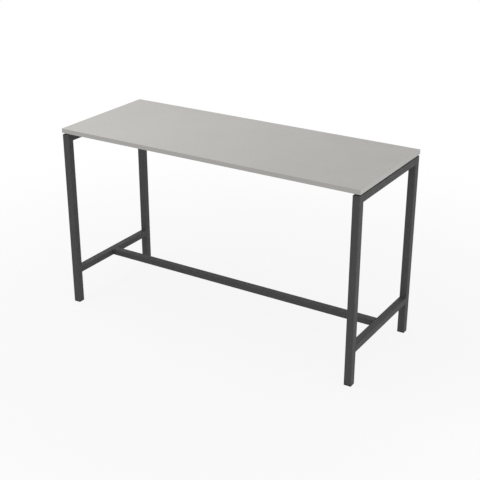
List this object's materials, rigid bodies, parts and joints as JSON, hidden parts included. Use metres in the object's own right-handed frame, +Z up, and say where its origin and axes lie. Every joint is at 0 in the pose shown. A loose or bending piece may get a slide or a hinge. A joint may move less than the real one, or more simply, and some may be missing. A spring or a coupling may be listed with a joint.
{
  "type": "standing meeting table",
  "caption": "Bar-height rectangular meeting table: laminate board on two square-tube end frames joined by a low central stretcher, with levelling feet.",
  "frame": {"origin": "on the floor under the middle of the board, in the plane the foot pads stand on", "axes": "+X along the table's length towards the right end, front towards -Y, +Z up"},
  "size_m": [1.8, 0.7, 1.05],
  "materials": {
    "board_laminate": "fine-grained matt laminate, light warm grey",
    "edging": "matt plastic edging in the laminate's grey",
    "backing_laminate": "plain balancing laminate, mid grey",
    "board_core": "raw chipboard",
    "frame_paint": "fine-textured matt powder coat, anthracite",
    "bare_steel": "mill finish, hidden",
    "zinc_steel": "zinc plated",
    "black_plastic": "moulded, matt"
  },
  "bodies": {
    "table": {"board_top_laminate": "board_laminate", "board_backing_laminate": "backing_laminate", "board_core": "board_core", "edging_front": "edging", "edging_rear": "edging", "edging_left": "edging", "edging_right": "edging", "stretcher": "frame_paint", "leg_front_left": "frame_paint", "leg_front_right": "frame_paint", "leg_rear_left": "frame_paint", "leg_rear_right": "frame_paint", "top_rail_left": "frame_paint", "top_rail_right": "frame_paint", "cross_bar_left": "frame_paint", "cross_bar_right": "frame_paint", "beam_front": "frame_paint", "beam_rear": "frame_paint", "beam_plate_front_left": "frame_paint", "beam_plate_front_right": "frame_paint", "beam_plate_rear_left": "frame_paint", "beam_plate_rear_right": "frame_paint", "stretcher_spigot_left": "bare_steel", "stretcher_spigot_right": "bare_steel", "nut_plate_front_left": "bare_steel", "nut_plate_front_right": "bare_steel", "nut_plate_rear_left": "bare_steel", "nut_plate_rear_right": "bare_steel", "stretcher_screws": "zinc_steel", "beam_bolts": "zinc_steel", "board_screws": "zinc_steel", "board_inserts": "zinc_steel", "foot_nuts": "zinc_steel", "board_spacers": "black_plastic", "rail_pads": "black_plastic", "leg_plug_front_left": "black_plastic", "leg_plug_front_right": "black_plastic", "leg_plug_rear_left": "black_plastic", "leg_plug_rear_right": "black_plastic"},
    "foot_pad_front_left": {"foot_pad_front_left": "black_plastic"},
    "foot_stem_front_left": {"foot_stem_front_left": "zinc_steel"},
    "foot_pad_front_right": {"foot_pad_front_right": "black_plastic"},
    "foot_stem_front_right": {"foot_stem_front_right": "zinc_steel"},
    "foot_pad_rear_left": {"foot_pad_rear_left": "black_plastic"},
    "foot_stem_rear_left": {"foot_stem_rear_left": "zinc_steel"},
    "foot_pad_rear_right": {"foot_pad_rear_right": "black_plastic"},
    "foot_stem_rear_right": {"foot_stem_rear_right": "zinc_steel"}
  },
  "joints": [
    {"name": "foot_travel_front_left", "type": "slide", "parent": "table", "child": "foot_pad_front_left", "axis": [0, 0, -1], "range_m": [0, 0.01]},
    {"name": "stem_turn_front_left", "type": "hinge", "parent": "foot_pad_front_left", "child": "foot_stem_front_left", "pos_m": [-0.878, -0.328, 0], "axis": [0, 0, -1], "range_deg": [0, 2880]},
    {"name": "foot_travel_front_right", "type": "slide", "parent": "table", "child": "foot_pad_front_right", "axis": [0, 0, -1], "range_m": [0, 0.01]},
    {"name": "stem_turn_front_right", "type": "hinge", "parent": "foot_pad_front_right", "child": "foot_stem_front_right", "pos_m": [0.878, -0.328, 0], "axis": [0, 0, -1], "range_deg": [0, 2880]},
    {"name": "foot_travel_rear_left", "type": "slide", "parent": "table", "child": "foot_pad_rear_left", "axis": [0, 0, -1], "range_m": [0, 0.01]},
    {"name": "stem_turn_rear_left", "type": "hinge", "parent": "foot_pad_rear_left", "child": "foot_stem_rear_left", "pos_m": [-0.878, 0.328, 0], "axis": [0, 0, -1], "range_deg": [0, 2880]},
    {"name": "foot_travel_rear_right", "type": "slide", "parent": "table", "child": "foot_pad_rear_right", "axis": [0, 0, -1], "range_m": [0, 0.01]},
    {"name": "stem_turn_rear_right", "type": "hinge", "parent": "foot_pad_rear_right", "child": "foot_stem_rear_right", "pos_m": [0.878, 0.328, 0], "axis": [0, 0, -1], "range_deg": [0, 2880]}
  ],
  "couplings": [
    {"joint": "stem_turn_front_left", "follows": "foot_travel_front_left", "rad_per_m": 5026.5},
    {"joint": "stem_turn_front_right", "follows": "foot_travel_front_right", "rad_per_m": 5026.5},
    {"joint": "stem_turn_rear_left", "follows": "foot_travel_rear_left", "rad_per_m": 5026.5},
    {"joint": "stem_turn_rear_right", "follows": "foot_travel_rear_right", "rad_per_m": 5026.5}
  ]
}
